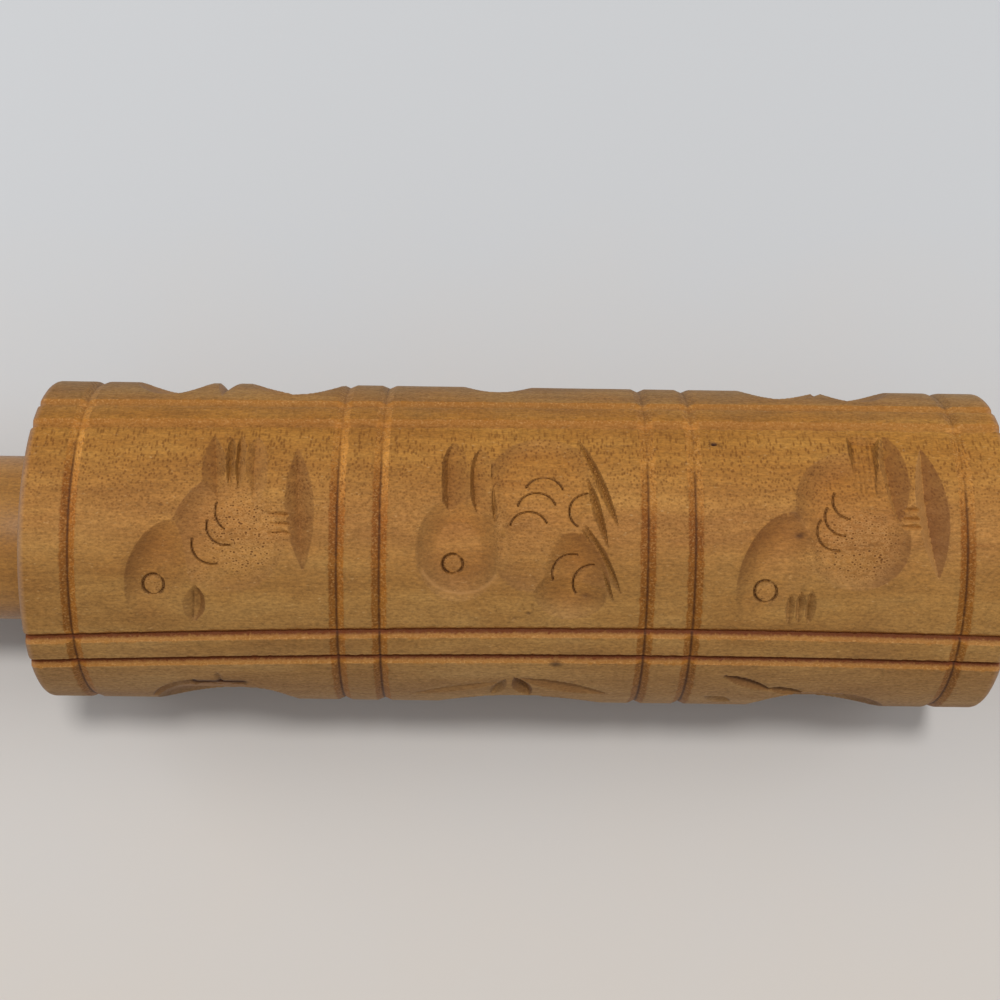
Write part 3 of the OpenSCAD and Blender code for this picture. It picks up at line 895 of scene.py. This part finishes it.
def wood_grain(tree, heart, tones, ray_level):
    pale, middle, deep_tone, ring_tone, ray_tone = (colour(*tone) for tone in tones)
    turned, across, reach = wood_space(tree, *heart)
    patch = noise(turned, PATCH_SIZE, 4, 0.6)
    tone = ramp(patch, ((0.32, deep_tone), (0.5, middle), (0.68, pale)))
    wander = noise(turned, WANDER_SIZE) * WANDER
    ring = reckon("SINE", (reach + wander) * RING_RATE)
    tone = blend((ring + 1) * RING_SHARE, tone, ring_tone)
    streak = noise(turned, STREAK_SIZE, 3, 0.6)
    tone = tinted(tone, ramp(streak, STREAK_TINTS), STREAK_SHARE)
    speck = noise(turned, SPECK_SIZE, 3, 0.65)
    tone = tinted(tone, ramp(speck, SPECK_TINTS))
    ray_share = rays(tree, turned, across, ray_level)
    tone = blend(ray_share, tone, ray_tone)
    return turned, tinted(tone, end_grain(tree)), speck - ray_share * RAY_DEPTH


def wood_sheen(tone, height, roughness, bump_level):
    low, high = roughness
    return {
        "Base Color": tone,
        "Roughness": ramp(height, ((0.3, high), (0.7, low))),
        "Normal": bumped(height, bump_level, FIBRE_BUMP * MM),
    }


print("growth rings lie", round(2 * math.pi / RING_RATE, 1), "mm apart")

# %% [markdown]
# ## The roller's finish
# Much of the light on the skin is painted into its colour. The skin is painted greyest low on the near side
# and darker again on the far side, where light grazes it, more golden on top where the light falls, and a
# little darker at the left end than at the right. It is pale at the rims, partly from wear and partly as a
# painted highlight. The grooves get painted shade on the near side, with painted shade along their floors,
# and painted light on the far side. Deep cuts are darker and warmer than the skin. Raw faces and faces turned
# from the light are painted brown, lifted faces and lit rims pale, and the pricked dots and blade marks are
# painted nearly black as shade in the pits and slits.
# A painted image could hold all this, but it would have to be unwrapped and stored. Instead it is mixed over
# the plain wood, one layer after the other, from Object coordinates and from the attributes that the carving
# left on the sheet.

# %% Weather and grooves
RIM_WEAR_AND_HIGHLIGHT = colour(188, 152, 126)
ROW_WALL = colour(167, 106, 36)
ROW_FLOOR_SHADE = colour(108, 47, 2)
RING_FLOOR_SHADE = colour(60, 27, 5)
LOOSE_FIBRES = colour(214, 162, 98)
LIT_WALL_HIGHLIGHT = (1.36, 1.38, 1.4, 1)
SKIN_LIGHT_REACH = 0.03
SKIN_LIGHT_PATCHES = 0.012
FAR_LIGHT_SPAN = (-0.001, 0.029)
FAR_LIGHT_LEAN = 0.04
GRIT_SIZE = (0.4, 0.3, 0.3)
SKIN_LIGHT_TINTS = (
    (0.08, (0.88, 1.02, 1.4, 1)),
    (0.19, (0.9, 1.02, 1.24, 1)),
    (0.27, (0.86, 0.94, 1.06, 1)),
    (0.36, (0.86, 0.9, 0.92, 1)),
    (0.5, (0.985, 0.965, 0.9, 1)),
    (0.72, (0.985, 0.95, 0.74, 1)),
    (0.8, (0.95, 0.895, 0.6, 1)),
    (0.95, (0.74, 0.84, 1.0, 1)),
)
RING_LIGHT_TINTS = (
    (0.14, (0.83, 0.61, 0.28, 1)),
    (0.42, (1.34, 1.29, 1.22, 1)),
    (0.65, (1.3, 1.26, 1.2, 1)),
    (0.9, (1, 0.97, 0.93, 1)),
)


# Painted light on the skin: greyer where light grazes it, low on the near side and on the far side, and more
# golden on top where the light falls.
def painted_light_and_wear(tree, tone):
    spot = coordinates(tree)
    along_pin, away, _ = parts_of(spot)
    away = away + (cloud(spot, 90, 3) - 0.5) * SKIN_LIGHT_PATCHES
    tone = tinted(tone, ramp(mapped(away, -SKIN_LIGHT_REACH, SKIN_LIGHT_REACH), SKIN_LIGHT_TINTS))
    # The rims are painted pale. This is partly wear and partly a painted highlight on the edge.
    worn_lit_rim = ramp(abs(along_pin * 12), ((0.981, 0), (0.992, 0.4)))
    tone = blend(worn_lit_rim * attribute(tree, "skin"), tone, RIM_WEAR_AND_HIGHLIGHT)
    # Painted light along the pin: the left end is a little darker than the right, as more light falls from
    # the right.
    end = ROLLER_END * MM
    return tinted(tone, mapped(along_pin, -end, end, (0.95, 1.03)))


def ring_tones(tree, tone, ring_wall, far_light, rightward):
    facing_right, _, _ = parts_of(coordinates(tree, "Normal"))
    # Ring walls that face left get a painted highlight, strongest near the left end, as if lit from the left.
    lit_wall = ramp(facing_right * -2.6, ((0.1, 0), (0.8, 1)))
    # Ring walls are painted darker on the near side and lighter on the far side: painted shade and painted
    # light.
    tone = tinted(tone, ramp(far_light + lit_wall * 0.13, RING_LIGHT_TINTS), ring_wall)
    lit_wall = lit_wall * ramp(rightward * 6 + 0.5, ((0.36, 0.9), (0.62, 0.1)))
    return tinted(tone, LIT_WALL_HIGHLIGHT, ring_wall * lit_wall)


def groove_tones(tree, tone, turned):
    rightward, away, _ = parts_of(coordinates(tree))
    # A share that runs from the near side to the far side and rises a little to the right. It sets how much
    # painted shade and painted light the grooves get.
    far_light = mapped(away + rightward * FAR_LIGHT_LEAN, *FAR_LIGHT_SPAN)
    grit = noise(turned, GRIT_SIZE)
    shift = (grit - 0.5) * 0.5
    ring = attribute(tree, "ring")
    row = attribute(tree, "row")
    ring_wall = ramp(ring + shift * ring, ((0.005, 0), (0.14, 1)))
    tone = ring_tones(tree, tone, ring_wall, far_light, rightward)
    row_wall = ramp(row, ((0.02, 0.2), (0.1, 0.6), (0.5, 0.4), (0.75, 0.0)))
    row_wall = row_wall * ramp(row, ((0.01, 0), (0.03, 1)))
    tone = blend(row_wall, tone, ROW_WALL)
    walls = reckon("MAXIMUM", row_wall, ring_wall * 0.45)
    tone = blend(walls * ramp(grit, ((0.52, 0.0), (0.68, 0.7))), tone, LOOSE_FIBRES)
    # Painted shade along the floors of the long grooves, strongest on the near side.
    row_line = ramp(row + shift, ((0.39, 0), (0.69, 1)))
    tone = blend(row_line * ramp(far_light, ((0, 0.92), (0.33, 0.06))), tone, ROW_FLOOR_SHADE)
    # Painted shade along the floors of the ring grooves, strongest on the near side.
    ring_line = ramp(ring + shift * 0.3, ((0.74, 0), (0.94, 1)))
    return blend(ring_line * ramp(far_light, ((0, 0.76), (0.3, 0.62), (0.45, 0.2))), tone, RING_FLOOR_SHADE)


print("the skin has", len(SKIN_LIGHT_TINTS), "tints from the near side to the far side")

# %% Cuts, dots and stains
ROLLER_HEART = (-52, 46)
ROLLER_TONES = ((180, 129, 66), (170, 118, 57), (156, 105, 49), (146, 96, 43), (104, 60, 18))
ROLLER_SHEEN = (0.5, 0.66)
ROLLER_BUMP = 0.7
SCUFF = colour(200, 158, 104)
SCUFF_SIZE = (0.9, 0.4, 0.4)
DOT_SIZE = (0.68, 0.5, 0.5)
DOT_WANDER_SIZE = (1.1, 0.9, 0.9)
DOT_WANDER = 0.5
DOT_SHARE = 0.8
CUT_TINT = (0.92, 0.79, 0.64, 1)
RAW_AND_SHADED_FACE = colour(112, 66, 32)
LIFTED_AND_LIT_FACE = colour(190, 138, 82)
DOT_RIM_HIGHLIGHT = colour(200, 148, 88)
DOT_SHADE = colour(88, 48, 18)
BLADE_MARK_SHADE = colour(62, 30, 10)
STAIN = colour(52, 26, 18)


# The pricked dots are painted dark as shade in their pits, with a painted highlight on the rim round each.
def pricked(tree, turned):
    gap = cells(turned, DOT_SIZE) + noise(turned, DOT_WANDER_SIZE) * DOT_WANDER
    dots = attribute(tree, "dots")
    hole = ramp(gap, ((0.4, 1.0), (0.52, 0.0))) * dots
    return hole * DOT_SHARE, ramp(gap, ((0.55, 0.0), (0.7, 0.4), (0.85, 0.0))) * dots


def roller_finish():
    material, tree = new_finish("roller_wood")
    turned, tone, height = wood_grain(tree, ROLLER_HEART, ROLLER_TONES, 0.6)
    tone = painted_light_and_wear(tree, tone)
    scuffed = noise(turned, SCUFF_SIZE)
    tone = blend(ramp(scuffed, ((0.66, 0.0), (0.8, 0.55))), tone, SCUFF)
    tone = tinted(tone, CUT_TINT, reckon("MULTIPLY", attribute(tree, "deep"), 0.45, clamp=True))
    # Raw faces and faces in painted shade go brown; lifted faces and painted light go pale.
    raw = attribute(tree, "raw")
    tone = blend(reckon("MULTIPLY", raw, 0.6, clamp=True), tone, RAW_AND_SHADED_FACE)
    tone = blend(reckon("MULTIPLY", raw, -0.7, clamp=True), tone, LIFTED_AND_LIT_FACE)
    tone = groove_tones(tree, tone, turned)
    hole, lit_rim = pricked(tree, turned)
    tone = blend(hole, blend(lit_rim, tone, DOT_RIM_HIGHLIGHT), DOT_SHADE)
    # Painted shade in the blade marks.
    tone = blend(attribute(tree, "knife") * 0.9, tone, BLADE_MARK_SHADE)
    tone = blend(reckon("MULTIPLY", attribute(tree, "stain"), 0.9, clamp=True), tone, STAIN)
    sheen = wood_sheen(tone, height - hole, ROLLER_SHEEN, ROLLER_BUMP)
    return paint(material, sheen | {"Specular IOR Level": 0.2})


roller_wood = roller_finish()
print("made", roller_wood.name, "with", len(roller_wood.node_tree.nodes), "nodes")

# %% [markdown]
# ## Wrapping the sheet with Geometry Nodes
# The V grooves follow a rule: three rings each side of the middle, and a pair of long cuts at each edge of a
# row. So a Geometry Nodes tree cuts them, from sizes that can be changed in the modifier. For each point it
# takes the distance to the nearest groove, works out the depth of the V there and keeps the deeper of groove
# and picture. The rings are turned shallow and the long cuts deep. Then it bends the sheet round the axle.

# %% Shape the grooves
RAGGED = 0.3
UNEVEN = 0.05
RING_NAMES = (
    "Left End Ring", "Left Outer Ring", "Left Inner Ring",
    "Right Inner Ring", "Right Outer Ring", "Right End Ring",
)
TREE_SIZES = (
    ("Radius", ROLLER_R * MM),
    ("Lean", LEAN),
    ("Sag", SAG / MM),
    ("Sag Middle", SAG_MIDDLE * MM),
    ("Sag Reach", SAG_REACH * MM),
    ("Ring Width", RING_WIDE * MM),
    ("Ring Depth", RING_DEEP * MM),
    ("Long Width", LONG_WIDE * MM),
    ("Long Depth", LONG_DEEP * MM),
    *((name, place * MM) for name, place in zip(RING_NAMES, RING_GROOVES)),
    ("Row Width", ROW_WIDE * MM),
    ("Bar Width", BAR_WIDE * MM),
    ("Ragged", RAGGED),
    ("Uneven", UNEVEN * MM),
)


def groove_gaps(size, place, arc):
    ring_gap = 1
    for name in RING_NAMES:
        ring_gap = reckon("MINIMUM", ring_gap, abs(place - size[name]))
    half_row = size["Row Width"] * 0.5
    in_row = reckon("WRAP", arc, half_row, half_row * -1)
    edge = half_row - size["Bar Width"] * 0.5
    return ring_gap, abs(abs(in_row) - edge)


def groove_share(gap, wide, wobble):
    return reckon("SUBTRACT", 1, gap / (wide * (wobble + 0.5)), clamp=True)


def groove_shape(size, place, arc, spot):
    ring_gap, row_gap = groove_gaps(size, place, arc)
    wobble = (cloud(spot, 900, 2) - 0.5) * size["Ragged"]
    ring = groove_share(ring_gap, size["Ring Width"], wobble)
    row = groove_share(row_gap, size["Long Width"], wobble)
    return ring, row, reckon("MAXIMUM", ring * size["Ring Depth"], row * size["Long Depth"])


def turn_of(size, place, arc):
    past = place - size["Sag Middle"]
    past = past * past - size["Sag Reach"] * size["Sag Reach"]
    plain_turn = arc / size["Radius"]
    near = 0.5 - reckon("SINE", plain_turn) * 0.5
    drift = place * size["Lean"] - past * size["Sag"] * near
    return plain_turn + drift / size["Radius"]


print("the wrapping tree has", len(TREE_SIZES), "sizes")


# %% Build the wrapping tree
def tree_inputs(tree):
    tree.interface.new_socket(name="Sheet", in_out="INPUT", socket_type="NodeSocketGeometry")
    for name, value in TREE_SIZES:
        socket = tree.interface.new_socket(name=name, in_out="INPUT", socket_type="NodeSocketFloat")
        socket.default_value = value
    tree.interface.new_socket(name="Finish", in_out="INPUT", socket_type="NodeSocketMaterial")
    tree.interface.new_socket(name="Shape", in_out="OUTPUT", socket_type="NodeSocketGeometry")
    return {socket.name: Wire(tree, socket) for socket in tree.nodes.new("NodeGroupInput").outputs}


def wrapping_tree():
    tree = bpy.data.node_groups.new("wrap_round_axle", "GeometryNodeTree")
    size = tree_inputs(tree)
    spot = put(tree, "GeometryNodeInputPosition")
    place, arc, reach = parts_of(spot)
    deep_cut, skin = (
        put(tree, "GeometryNodeInputNamedAttribute", {"Name": name}, "Attribute", data_type="FLOAT")
        for name in ("deep", "skin")
    )
    ring, row, groove = groove_shape(size, place, arc, spot)
    depth = reckon("MAXIMUM", groove * skin, deep_cut * MM)
    ripple = cloud(spot, 160, 2) * size["Uneven"] * skin
    radius = reach - depth - ripple
    angle = turn_of(size, place, arc)
    round_axle = put(tree, "ShaderNodeCombineXYZ", {
        "X": place,
        "Y": radius * reckon("SINE", angle),
        "Z": radius * reckon("COSINE", angle),
    })
    kept = size["Sheet"]
    for name, share in (("ring", ring), ("row", row)):
        store = {"Geometry": kept, "Name": name, "Value": share * skin}
        kept = put(tree, "GeometryNodeStoreNamedAttribute", store, data_type="FLOAT", domain="POINT")
    moved = put(tree, "GeometryNodeSetPosition", {"Geometry": kept, "Position": round_axle})
    solid = put(tree, "GeometryNodeRealizeInstances", {"Geometry": moved})
    dressed = put(tree, "GeometryNodeSetMaterial", {"Geometry": solid, "Material": size["Finish"]})
    feed(tree, tree.nodes.new("NodeGroupOutput"), {"Shape": dressed})
    return tree


wrap_round_axle = wrapping_tree()
print("the wrapping tree has", len(wrap_round_axle.nodes), "nodes")

# %% [markdown]
# ## A plain mesh
# The tree's result is turned into a plain mesh. Flat places need few triangles and carved ones many, so a
# Decimate modifier first thins the sheet where nothing is lost. Edges sharper than a set angle stay sharp,
# and all others are shaded smooth.

# %% Wrap a sheet and keep the mesh
ROLLER_TRIANGLES = 192000


def wrapped(piece, finish, sizes=None, triangles=None, sharp=26):
    modifier = piece.modifiers.new("wrap", "NODES")
    modifier.node_group = wrap_round_axle
    wanted = dict(sizes or {}, Finish=finish)
    for item in wrap_round_axle.interface.items_tree:
        if item.in_out == "INPUT" and item.name in wanted:
            modifier[item.identifier] = wanted[item.name]
    if triangles:
        thin = piece.modifiers.new("thin", "DECIMATE")
        thin.ratio = min(1, triangles / (2 * len(piece.data.polygons)))
    layers = bpy.context.evaluated_depsgraph_get()
    flat = piece.data
    mesh = bpy.data.meshes.new_from_object(piece.evaluated_get(layers), depsgraph=layers)
    piece.modifiers.clear()
    piece.data = mesh
    bpy.data.meshes.remove(flat)
    mesh.name = piece.name
    mesh.shade_smooth()
    mesh.set_sharp_from_angle(angle=math.radians(sharp))
    return piece


wrapped(roller, roller_wood, triangles=ROLLER_TRIANGLES)
print("the roller has", len(roller.data.polygons), "faces")
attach(roller, "roller")
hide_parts("roller")

# %% [markdown]
# ## Handles
# Each handle is turned from a closer, yellower wood and is polished by hands. It is a lathe shape: a collar
# against the roller, a waist for the fingers, a swell for the palm and a rounded nose with a well in it for
# the nut. A Screw modifier could spin that outline, but the tree that wraps the roller is there already. So
# the rings of a sheet follow the outline, and the tree wraps them with the lean and the sag off.

# %% Handle finish
HANDLE_HEART = (35, 30)
HANDLE_SHEEN = (0.36, 0.52)
HANDLE_BUMP = 0.25
HANDLE_TONES = ((175, 125, 59), (163, 113, 50), (150, 101, 42), (136, 89, 35), (112, 69, 26))


def handle_finish():
    material, tree = new_finish("handle_wood")
    _, tone, height = wood_grain(tree, HANDLE_HEART, HANDLE_TONES, 0.5)
    polish = {"Specular IOR Level": 0.35, "Coat Weight": 0.12, "Coat Roughness": 0.3}
    return paint(material, wood_sheen(tone, height, HANDLE_SHEEN, HANDLE_BUMP) | polish)


handle_wood = handle_finish()
print("made", handle_wood.name, "with", len(handle_wood.node_tree.nodes), "nodes")

# %% Turn the handles
HANDLE_START = 85.2
BORE_R = 4.1
FACE_R = 8
COLLAR_R = 14.8
COLLAR_END = 105.2
COLLAR_BEVEL = 1.0
WAIST_R = 12.2
WAIST_RUN = 22
GRIP_RUN = 74
SWELL_R = 14.4
NOSE_ROUND = 4
NOSE_END = 183.2
WELL_R = 9.2
WELL_FLOOR = 164
ROUND_STEPS = 6
HANDLE_LINES = 128


def grip_radius(run):
    if run < WAIST_RUN:
        return WAIST_R + (COLLAR_R - WAIST_R) / 2 * (1 + math.cos(math.pi * run / WAIST_RUN))
    swell = (run - WAIST_RUN) / (GRIP_RUN - WAIST_RUN)
    return WAIST_R + (SWELL_R - WAIST_R) / 2 * (1 - math.cos(math.pi * swell))


def handle_rings():
    collar = round_edge(-HANDLE_START, COLLAR_R, COLLAR_BEVEL, ROUND_STEPS)
    rings = [(HANDLE_START, BORE_R), (HANDLE_START, FACE_R)]
    rings += [(-place, radius) for place, radius in reversed(collar)]
    rings.append((HANDLE_START + COLLAR_BEVEL, COLLAR_R))
    rings += [(place, COLLAR_R) for place in range(90, math.floor(COLLAR_END), 5)]
    rings += [(COLLAR_END + run, grip_radius(run)) for run in range(0, GRIP_RUN + 1, 2)]
    rings += round_edge(NOSE_END, SWELL_R, NOSE_ROUND, ROUND_STEPS)
    rings += [(NOSE_END, WELL_R), (WELL_FLOOR, WELL_R), (WELL_FLOOR, BORE_R)]
    return rings


def turn_handle(name, side):
    rings = [(side * place, radius) for place, radius in handle_rings()][::side]
    lines = np.linspace(-GIRTH / 2, GIRTH / 2, HANDLE_LINES, endpoint=False)
    plain_skin = np.zeros((len(rings), HANDLE_LINES))
    piece = make_sheet("turned_" + name, rings, lines, {"deep": plain_skin, "skin": plain_skin})
    wrapped(piece, handle_wood, sizes={"Lean": 0.0, "Sag": 0.0})
    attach(piece, "handles")
    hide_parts(name)
    return piece


for name, side in (("left_handle", -1), ("right_handle", 1)):
    handle = turn_handle(name, side)
    print(handle.name, "has", len(handle.data.polygons), "faces")

# %% [markdown]
# ## Fittings
# The axle, washers, nuts, bushes and plugs keep the shapes of the construction model, which are right as they
# are. They only need finishes: bare turned steel with fine lines round it, waxy white nylon, and the handle's
# own wood for the plugs.

# %% Steel and nylon
LATHE_LINES = 0.05
LATHE_LINE_SIZE = (0.0002, 0.01, 0.01)
STEEL_TONES = ((0.3, colour(168, 169, 170)), (0.7, colour(196, 197, 198)))
NYLON_TONES = ((0.3, colour(222, 216, 200)), (0.7, colour(234, 230, 218)))


def steel_finish():
    material, tree = new_finish("turned_steel")
    spot = coordinates(tree)
    lines = cloud(stretched(spot, LATHE_LINE_SIZE), 5, 3)
    return paint(material, {
        "Metallic": 1,
        "Base Color": ramp(cloud(spot, 220, 4), STEEL_TONES),
        "Roughness": ramp(lines, ((0.3, 0.28), (0.7, 0.44))),
        "Normal": bumped(lines, 0.2, LATHE_LINES * MM),
    })


def nylon_finish():
    material, tree = new_finish("white_nylon")
    haze = cloud(coordinates(tree), 260, 4)
    return paint(material, {
        "Base Color": ramp(haze, NYLON_TONES),
        "Roughness": ramp(haze, ((0.3, 0.42), (0.7, 0.55))),
        "Subsurface Weight": 0.1,
        "Subsurface Scale": 0.001,
    })


turned_steel = steel_finish()
white_nylon = nylon_finish()
print("made", turned_steel.name, "and", white_nylon.name)

# %% Dress the fittings
FITTINGS = {
    "thrust_washer": turned_steel,
    "nut_washer": turned_steel,
    "nut": turned_steel,
    "bush": white_nylon,
    "plug": handle_wood,
}


def dress(node, finish):
    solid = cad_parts[node]
    solid.data.materials.clear()
    solid.data.materials.append(finish)


dress("axle", turned_steel)
for fitting, finish in FITTINGS.items():
    for side in ("left", "right"):
        dress(f"{side}_{fitting}", finish)
print("dressed the axle and", 2 * len(FITTINGS), "fittings")
